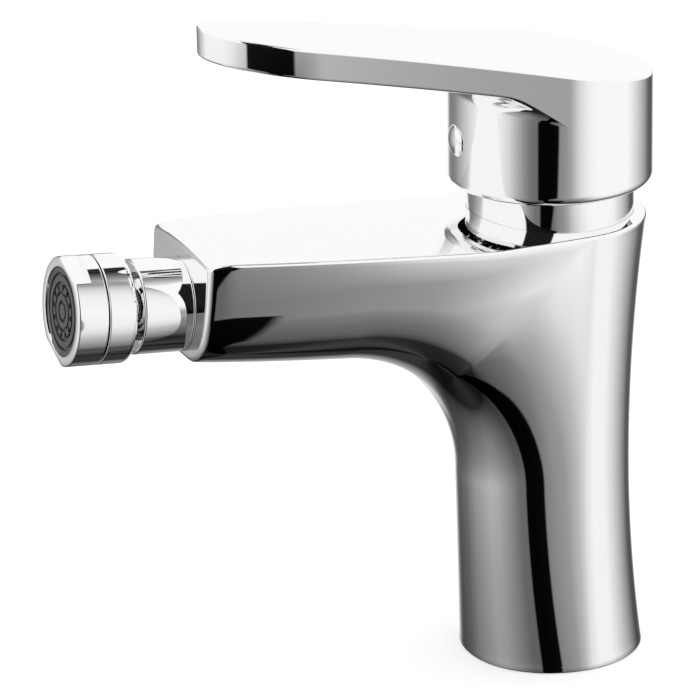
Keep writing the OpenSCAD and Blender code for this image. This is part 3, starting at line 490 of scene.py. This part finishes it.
# %% Collar and plug
COLLAR_R, COLLAR_IN, COLLAR_HOLE = 20.75, 19.25, 12.55
COLLAR_LOW, COLLAR_ROOF, COLLAR_TOP = 114.52, 122.6, 124.1
COLLAR = soften([(COLLAR_IN, COLLAR_LOW), (COLLAR_R, COLLAR_LOW), (COLLAR_R, COLLAR_TOP - 1.0),
                 (COLLAR_R - 0.8, COLLAR_TOP), (COLLAR_HOLE, COLLAR_TOP), (COLLAR_HOLE, COLLAR_ROOF),
                 (COLLAR_IN, COLLAR_ROOF), (COLLAR_IN, COLLAR_LOW)], [0, 0.12, 0.6, 0.6, 0.3, 0, 0, 0])
collar_skin = make_piece("collar_skin", [revolve(flanked(COLLAR, 0.06))], "mixer_body", ["collar"])


def laid(grid, origin, lean):
    """Lays a grid made about Z on an axis to the front, (x, y, z) to (x, -z, y), and then leans it."""
    c, s = math.cos(math.radians(lean)), math.sin(math.radians(lean))
    x, y, z = grid[..., 0], grid[..., 1], grid[..., 2]
    return np.stack([x, y * s - z * c, y * c + z * s], axis=-1) + np.asarray(origin)


PLUG_R, PLUG_SIDE, PLUG_DOME, PLUG_AT = 4.2, 2.6, 2.0, (0, -22.0, 136.0)
dome = np.radians(np.linspace(0, 90, 19))
PLUG = np.concatenate([[(0, 0), (PLUG_R, 0), (PLUG_R, PLUG_SIDE - 0.1)],
                       np.stack([PLUG_R * np.cos(dome), PLUG_SIDE + PLUG_DOME * np.sin(dome)], axis=1)])
plug_skin = make_piece("plug_skin", [laid(revolve(PLUG, 96), PLUG_AT, 0)],
                       "lever", ["index_plug"])

# %% Neck with its ball
NOSE = (0, -REACH + (NOZZLE_Z - TIP_LOW) * math.tan(math.radians(LEAN)), NOZZLE_Z)
# Along the axis from the end face: the neck, the middle of the ball and the two rings around it
BALL_R, BALL_AT, SOCKET_R, RING_R = 8.0, 18.6, 9.16, 13.25
NECK_R, NECK_L, THREAD_R, THREAD_L, BORE_R, STEM_BALL_R, BALL_END = 11.5, 12.6, 10.5, 9.0, 3.1, 4.6, 23.72
ball_a = np.radians(np.linspace(180 - 36, 50.2, 40))
BALL = np.stack([BALL_R * np.sin(ball_a), BALL_AT + BALL_R * np.cos(ball_a)], axis=1)
NECK = np.concatenate([soften([(BORE_R, -THREAD_L), (THREAD_R, -THREAD_L), (THREAD_R, 0.06), (NECK_R, 0.06),
                               (NECK_R, NECK_L), (STEM_BALL_R, NECK_L), BALL[0]],
                              [0, 0.3, 0, 0.3, 0.5, 0.3, 0]),
                       BALL[1:], [(BORE_R, BALL_END), (BORE_R, -THREAD_L)]])
neck_skin = make_piece("neck_skin", [laid(revolve(flanked(NECK, 0.06)), NOSE, LEAN)], "mixer_body",
                       ["ball_neck"])

# %% Rear ring
seat_a = np.radians(np.linspace(180 - 64, 90, 16))
SEAT = np.stack([SOCKET_R * np.sin(seat_a), BALL_AT + SOCKET_R * np.cos(seat_a)], axis=1)
rear_side = soften([SEAT[0], (RING_R, 14.6), (RING_R, 22.0), (10.71, 22.0), (10.71, 19.64)],
                   [0, 1.7, 0.3, 0.1, 0], 6)
REAR = np.concatenate([SEAT[::-1], rear_side[1:], [SEAT[-1] + (0, 1.04), SEAT[-1]]])
rear_skin = make_piece("rear_ring_skin", [laid(revolve(flanked(REAR, 0.06)), NOSE, LEAN)], "nozzle",
                       ["socket_ring"])

# %% [markdown]
# The front ring has two short flats for a wrench. Along a flat the radius is the smaller of the
# ring's radius and flat / cos(angle from the flat), so the same turned grid makes it.

# %% Front ring with wrench flats
def front_ring():
    """Rows of the front ring; the radius is min(r, flat / |cos|) over the length of the flats."""
    ring, flat = RING_R, 11.95
    half = math.acos(flat / ring)
    mid = math.pi / 2 - math.radians(18)
    marks = [mid - half, mid + half, mid + math.pi - half, mid + math.pi + half]
    a = np.sort(np.concatenate([np.linspace(0, 2 * np.pi, 193), marks]))
    cut = lambda r: np.minimum(r, (flat - (ring - r)) / np.maximum(np.abs(np.cos(a - mid)), 0.5))
    row = lambda r, s: np.stack([r * np.cos(a), r * np.sin(a), s + 0 * a], axis=1)
    full = lambda r, s: row(r + 0 * a, s)
    spigot, back_end, shelf, front = 10.65, 19.7, 23.85, 29.95
    # Spigot and the rounded rear edge
    rows = [full(spigot, back_end), full(spigot, 22.35), full(12.95, 22.35), full(13.16, 22.44),
            full(ring, 22.65)]
    # Side, first round and then with the flats
    rows += [full(ring, 22.75), full(ring, 25.7), full(ring, 25.75), row(cut(ring), 25.75),
             row(cut(ring), 25.8), row(cut(ring), 29.4), row(cut(ring), 29.45)]
    # Rounded front edge, lip and the bore of the insert
    rows += [row(cut(13.18), 29.7), row(cut(13.0), 29.88), row(cut(12.75), front), full(11.0, front),
             full(10.87, front - 0.05), full(10.81, front - 0.18), full(10.81, shelf)]
    # Round socket around the ball and its seat, from the shelf back to the spigot
    first, last = (math.acos((end - BALL_AT) / SOCKET_R) for end in (shelf, back_end))
    socket = np.linspace(first, last, 9)
    rows += [full(SOCKET_R * math.sin(b), BALL_AT + SOCKET_R * math.cos(b)) for b in socket]
    return np.stack(rows + [full(spigot, back_end)])


front_skin = make_piece("front_ring_skin", [laid(front_ring(), NOSE, LEAN)], "nozzle",
                        ["aerator_housing"])

# %% [markdown]
# ## Finishes
#
# Chrome is a mirror with an almost neutral grey of its own and a polish that varies faintly. Rubber,
# plastics, ceramic, brass and steel sit inside and under the mixer. Each finish varies a little
# over the surface with noise, so that nothing is perfectly even. One small class wraps a shader
# socket, so that the sums in the finishes read as sums.

# %% Shader arithmetic
class Value:
    """A shader socket with arithmetic: every operator adds a Math node."""

    def __init__(self, tree, socket):
        self.tree, self.socket = tree, socket

    def node(self, kind, inputs=None, output=0, **settings):
        """Adds a node of any kind, feeds its inputs and returns one output."""
        made = self.tree.nodes.new(kind)
        for key, value in settings.items():
            setattr(made, key, value)
        for key, value in (inputs or {}).items():
            if isinstance(value, Value):
                self.tree.links.new(value.socket, made.inputs[key])
            else:
                made.inputs[key].default_value = value
        return Value(self.tree, made.outputs[output])

    def math(self, operation, *values):
        return self.node("ShaderNodeMath", dict(enumerate(values)), operation=operation)

    def __add__(self, other):
        return self.math("ADD", self, other)

    def __sub__(self, other):
        return self.math("SUBTRACT", self, other)

    def __mul__(self, other):
        return self.math("MULTIPLY", self, other)

    def __truediv__(self, other):
        return self.math("DIVIDE", self, other)

    def __radd__(self, other):
        return self.math("ADD", other, self)

    def __rsub__(self, other):
        return self.math("SUBTRACT", other, self)

    def __rmul__(self, other):
        return self.math("MULTIPLY", other, self)

    def __rtruediv__(self, other):
        return self.math("DIVIDE", other, self)

    def into(self, socket):
        self.tree.links.new(self.socket, socket)


def new_tree(name):
    """A material with its node tree, its main shader and the object coordinates."""
    material = bpy.data.materials.new(name)
    material.use_nodes = True
    tree = material.node_tree
    place = Value(tree, tree.nodes.new("ShaderNodeTexCoord").outputs["Object"])
    return material, tree.nodes["Principled BSDF"], place


def finish(name, colour, rough, metallic=0.0, scale=300.0, tint=0.06, vary=0.3, bump=0.0, coat=0.0):
    """A finish whose colour c and roughness r drift with noise n: c (1 - tint + tint n) and
    r (1 - vary + 2 vary n)."""
    material, shader, place = new_tree(name)
    noise = place.node("ShaderNodeTexNoise", {"Vector": place, "Scale": scale, "Detail": 3.0})
    tone = place.node("ShaderNodeMix", {0: noise, 6: (*[c * (1 - tint) for c in colour], 1), 7: (*colour, 1)},
                      output=2, data_type="RGBA")
    tone.into(shader.inputs["Base Color"])
    (rough * (1 - vary) + noise * (2 * rough * vary)).into(shader.inputs["Roughness"])
    shader.inputs["Metallic"].default_value = metallic
    shader.inputs["Coat Weight"].default_value = coat
    if bump:
        relief = place.node("ShaderNodeBump", {"Height": noise, "Strength": bump, "Distance": 0.0002})
        relief.into(shader.inputs["Normal"])
    return material


chrome = finish("chrome", (0.955, 0.955, 0.96), 0.035, 1.0, 40.0, 0.01, 0.35)
finishes = {
    "chrome": chrome,
    "black_rubber": finish("black_rubber", (0.03, 0.03, 0.033), 0.55, 0.0, 500.0, 0.3, 0.25, 0.3),
    "ceramic": finish("ceramic", (0.86, 0.84, 0.79), 0.18, 0.0, 250.0, 0.04, 0.3, 0.0, 0.3),
    "white_plastic": finish("white_plastic", (0.84, 0.84, 0.83), 0.38, 0.0, 400.0, 0.05, 0.25, 0.1),
    "dark_plastic": finish("dark_plastic", (0.055, 0.055, 0.06), 0.34, 0.0, 400.0, 0.2, 0.25, 0.1),
    "brass": finish("brass", (0.78, 0.57, 0.25), 0.26, 1.0, 200.0, 0.08, 0.3, 0.1),
    "steel": finish("steel", (0.62, 0.62, 0.64), 0.24, 1.0, 260.0, 0.06, 0.3, 0.1),
}
print("finishes:", sorted(finishes))

# %% Give every piece and node its finish
NODE_FINISH = {
    "base_seal": "black_rubber", "port_seals": "black_rubber", "collar_seal": "black_rubber",
    "neck_seal": "black_rubber", "aerator_washer": "black_rubber", "fixed_disc": "ceramic",
    "moving_disc": "ceramic", "cartridge_base": "white_plastic", "cartridge_housing": "white_plastic",
    "glide_ring": "white_plastic", "ball_seat": "white_plastic", "disc_carrier": "dark_plastic",
    "stem_turret": "dark_plastic", "aerator_insert": "dark_plastic", "retaining_nut": "brass",
    "stem": "steel", "stem_pin": "steel", "grub_screw": "steel", "aerator_mesh": "steel",
}


def dress(thing, material):
    """Leaves the mesh with this one material."""
    thing.data.materials.clear()
    thing.data.materials.append(material)


for name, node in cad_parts.items():
    dress(node, finishes[NODE_FINISH.get(name, "chrome")])
for piece in (body_skin, handle_skin, collar_skin, plug_skin, neck_skin, rear_skin, front_skin):
    dress(piece, chrome)
print("dressed nodes:", len(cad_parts))

# %% [markdown]
# ## Light for chrome
#
# A mirror shows its surroundings, so chrome is photographed inside a tent of paper. The tent here is
# a drum around the mixer that only reflections see. Around the lever hangs a row of bright panels,
# and beside the column a dimmer row fades out towards the table. A black card with slanting edges
# hides the camera, a small white card stands close to the nozzle and a dark one hangs overhead. The
# drum stands close, as in a small studio, so that the black card moves along the spout. The floor
# and the world are plain white. Lamps alone would leave most of the chrome empty.

# %% Studio helpers
CAM_AZ, CAM_EL, CAM_ROLL = 1.18070, 0.345337, -0.0176071
TENT_R, TENT_LOW, TENT_HIGH = 250.0, -420.0, 420.0


def ramp(value, low, high, stops):
    """Brightness by straight lines between stops (place, brightness), for places from low to high."""
    node = value.tree.nodes.new("ShaderNodeValToRGB")
    points = node.color_ramp.elements
    while len(points) < len(stops):
        points.new(0.5)
    for point, (place, level) in zip(points, stops):
        point.position = (place - low) / (high - low)
        point.color = (level, level, level, 1)
    ((value - low) / (high - low)).into(node.inputs[0])
    return Value(value.tree, node.outputs[0])


def stage_mesh(name, grids):
    """A mesh that belongs to the studio and not to the object."""
    points = np.concatenate([g.reshape(-1, 3) for g in grids]) * MM
    starts = np.cumsum([0] + [g.shape[0] * g.shape[1] for g in grids])
    faces = np.concatenate([grid_faces(g.shape[0], g.shape[1], s) for g, s in zip(grids, starts)])
    mesh = bpy.data.meshes.new(name)
    mesh.from_pydata(points.tolist(), [], faces.tolist())
    thing = bpy.data.objects.new(name, mesh)
    bpy.context.scene.collection.objects.link(thing)
    thing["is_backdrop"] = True
    return thing


def paper_tree(name):
    """A glowing paper: its emission shader and its object coordinates in millimetres."""
    material, shader, place = new_tree(name)
    glow = material.node_tree.nodes.new("ShaderNodeEmission")
    output = material.node_tree.nodes["Material Output"]
    material.node_tree.links.new(glow.outputs[0], output.inputs["Surface"])
    split = place.node("ShaderNodeSeparateXYZ", {0: place})
    return material, glow, [Value(split.tree, split.socket.node.outputs[i]) / MM for i in range(3)]


def reflections_only(thing):
    """Leaves a stage mesh to be seen in mirrors and nowhere else."""
    for kind in ("camera", "diffuse", "transmission", "volume_scatter", "shadow"):
        setattr(thing, "visible_" + kind, False)


def clamped(value):
    """The value held between 0 and 1."""
    return value.node("ShaderNodeClamp", {0: value})


print("tent radius:", TENT_R, "mm")

# %% Tent
drum = [(0, TENT_LOW), (TENT_R, TENT_LOW), (TENT_R, TENT_HIGH), (0, TENT_HIGH)]
tent = stage_mesh("tent", [revolve(drum, 128)])
tent.rotation_euler[2] = CAM_AZ - math.pi / 2
reflections_only(tent)
paper, glow, (east, north, level) = paper_tree("tent_paper")
# Degrees around the drum: 0 towards the camera, positive to its right
around = north.math("ARCTAN2", north, east) * (180 / math.pi)
upper_row = ramp(around, -180, 180, [
    (-172, 1.0), (-158, 0.95), (-148, 0.3), (-140, 0.2), (-128, 0.26), (-117, 0.42), (-101, 0.68),
    (-88, 0.87), (-57, 0.87), (-46, 0.68), (-39, 0.48), (-30, 0.28), (-22, 0.17), (0, 0.13), (8, 0.25),
    (14, 0.29), (20, 0.38), (30, 0.71), (40, 0.9), (50, 0.98), (90, 0.98), (106, 0.68), (120, 0.42),
    (134, 0.14), (146, 0.08), (156, 0.3), (166, 1.0)])
lower_row = ramp(around, -180, 180, [
    (-172, 0.75), (-160, 0.7), (-150, 0.2), (-140, 0.1), (-117, 0.17), (-97, 0.31), (-66, 0.47), (-54, 0.44),
    (-41, 0.33), (-20, 0.15), (0, 0.12), (12, 0.2), (22, 0.25), (33, 0.32), (41, 0.5), (49, 0.78), (60, 0.94),
    (80, 0.93), (96, 0.7), (115, 0.4), (135, 0.11), (150, 0.09), (160, 0.4), (170, 0.7)])
share = ramp(level, TENT_LOW, TENT_HIGH, [(0, 0.0), (50, 1.0)])
fade = ramp(level, TENT_LOW, TENT_HIGH, [(-420, 0.05), (-260, 0.3), (-140, 0.54), (-75, 0.78), (-50, 1.0)])
# The white ceiling comes down to the upper row, but stays 120 mm higher at the back left
lifted = ramp(around, -180, 180, [(-152, 0.0), (-138, 1.0), (-112, 1.0), (-92, 0.0)])
ceiling = ramp(level - 120 * lifted, TENT_LOW, TENT_HIGH, [(95, 0.0), (150, 1.0)])
walls = (lower_row + (upper_row - lower_row) * share) * fade
# The black card: its edges move between -4 and +14 and between -10 and -31 degrees with the height
edge = ramp(level, TENT_LOW, TENT_HIGH, [(-35, 1.0), (-25, 0.0), (35, 0.03), (53, 0.55), (70, 0.64)]) * 18 - 4
left = ramp(level, TENT_LOW, TENT_HIGH, [(-35, 1.0), (-25, 0.76), (75, 0.76), (110, 0.0)]) * 21 - 31
outside = clamped((around - edge) / 2 + 0.5) + clamped((left - around) / 2 + 0.5)
((walls * (1 - ceiling) + ceiling) * (0.012 + 0.988 * outside)).into(glow.inputs["Color"])
dress(tent, paper)
print("tent points:", len(tent.data.vertices))

# %% Cards beside the nozzle and overhead
beside_grid = np.array([[[x, -99.0, z] for x in (19.6, 95.0)] for z in (-110.0, 200.0)])
beside = stage_mesh("white_card", [beside_grid])
reflections_only(beside)
paper, glow, (east, north, level) = paper_tree("card_paper")
# The slope seen from the right side of the nozzle sets the brightness
slope = (level - 105) / (east - 12.5)
ramp(slope, -4, 4, [(-3.2, 0.08), (-2.6, 0.18), (-1.7, 0.3), (-1.0, 0.5), (-0.6, 0.78), (-0.3, 0.92),
                    (0.3, 0.97), (1.2, 0.9), (2.5, 0.6), (3.5, 0.35)]).into(glow.inputs["Color"])
# Its back lets reflections through
clear = east.node("ShaderNodeBsdfTransparent")
back = Value(paper.node_tree, paper.node_tree.nodes.new("ShaderNodeNewGeometry").outputs["Backfacing"])
both = east.node("ShaderNodeMixShader", {0: back, 1: Value(paper.node_tree, glow.outputs[0]), 2: clear})
both.into(paper.node_tree.nodes["Material Output"].inputs["Surface"])
dress(beside, paper)
overhead_grid = np.array([[[x, y, 400.0] for x in (-110.0, 150.0)] for y in (-40.0, 40.0)])
overhead = stage_mesh("dark_card", [overhead_grid])
reflections_only(overhead)
paper, glow, (east, north, level) = paper_tree("dark_paper")
ramp(east, -110, 150, [(-110, 0.9), (-100, 0.03), (-40, 0.02), (0, 0.12), (60, 0.35), (150, 0.9)]).into(
    glow.inputs["Color"])
dress(overhead, paper)
print("cards:", beside.name, "and", overhead.name)

# %% Floor and world
floor = stage_mesh("floor", [revolve([(0, -0.05), (3000, -0.05)], 64)])
floor.visible_glossy = False
white, shader, place = new_tree("floor_white")
shader.inputs["Base Color"].default_value = (0.75, 0.75, 0.75, 1)
shader.inputs["Roughness"].default_value = 0.9
shader.inputs["Specular IOR Level"].default_value = 0.0
shader.inputs["Emission Strength"].default_value = 0.4
path = white.node_tree.nodes.new("ShaderNodeLightPath")
seen = [Value(white.node_tree, path.outputs[kind])
        for kind in ("Is Camera Ray", "Is Glossy Ray", "Is Transmission Ray")]
clamped(seen[0] + seen[1] + seen[2]).into(shader.inputs["Emission Color"])
dress(floor, white)
world = bpy.data.worlds.new("studio")
bpy.context.scene.world = world
world.use_nodes = True
world.node_tree.nodes["Background"].inputs["Color"].default_value = (1, 1, 1, 1)
world.node_tree.nodes["Background"].inputs["Strength"].default_value = 1.0
print("floor and world are white")

# %% [markdown]
# ## Camera
#
# The camera stands to the right of the front and a little above, with a long lens. Its place was
# fitted so that the round edges and corners of the model fall where the picture shows them.

# %% Camera and render settings
PICTURE_PX, FOCAL_PX, SENSOR, CAM_PLACE = 696, 4660.18, 36.0, (992.21, -462.43, 472.78)
lens = bpy.data.cameras.new("camera")
lens.sensor_width = SENSOR
lens.lens = FOCAL_PX * SENSOR / PICTURE_PX
lens.clip_start, lens.clip_end = 0.01, 20.0
camera = bpy.data.objects.new("camera", lens)
bpy.context.scene.collection.objects.link(camera)
level_v = np.array([math.sin(CAM_AZ), -math.cos(CAM_AZ), 0.0])
back_v = level_v * math.cos(CAM_EL) + np.array([0, 0, math.sin(CAM_EL)])
right_v = np.array([math.cos(CAM_AZ), math.sin(CAM_AZ), 0.0])
up_v = np.cross(back_v, right_v)
c, s = math.cos(CAM_ROLL), math.sin(CAM_ROLL)
turn = np.eye(4)
turn[:3, 0], turn[:3, 1], turn[:3, 2] = c * right_v + s * up_v, c * up_v - s * right_v, back_v
turn[:3, 3] = np.array(CAM_PLACE) * MM
camera.matrix_world = Matrix(turn.tolist())
scene = bpy.context.scene
scene.camera = camera
scene.render.engine = "CYCLES"
scene.cycles.samples = 128
scene.cycles.use_denoising = True
scene.render.resolution_x = scene.render.resolution_y = PICTURE_PX
scene.view_settings.view_transform = "Standard"
print("camera at", [round(v, 4) for v in camera.location])

# %% Sizes and finish
low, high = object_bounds()
{"cad": [list(cad_low), list(cad_high)], "visual": [list(low), list(high)]}
print("CAD box", [round(v, 4) for v in (*cad_low, *cad_high)])
print("visual box", [round(v, 4) for v in (*low, *high)])
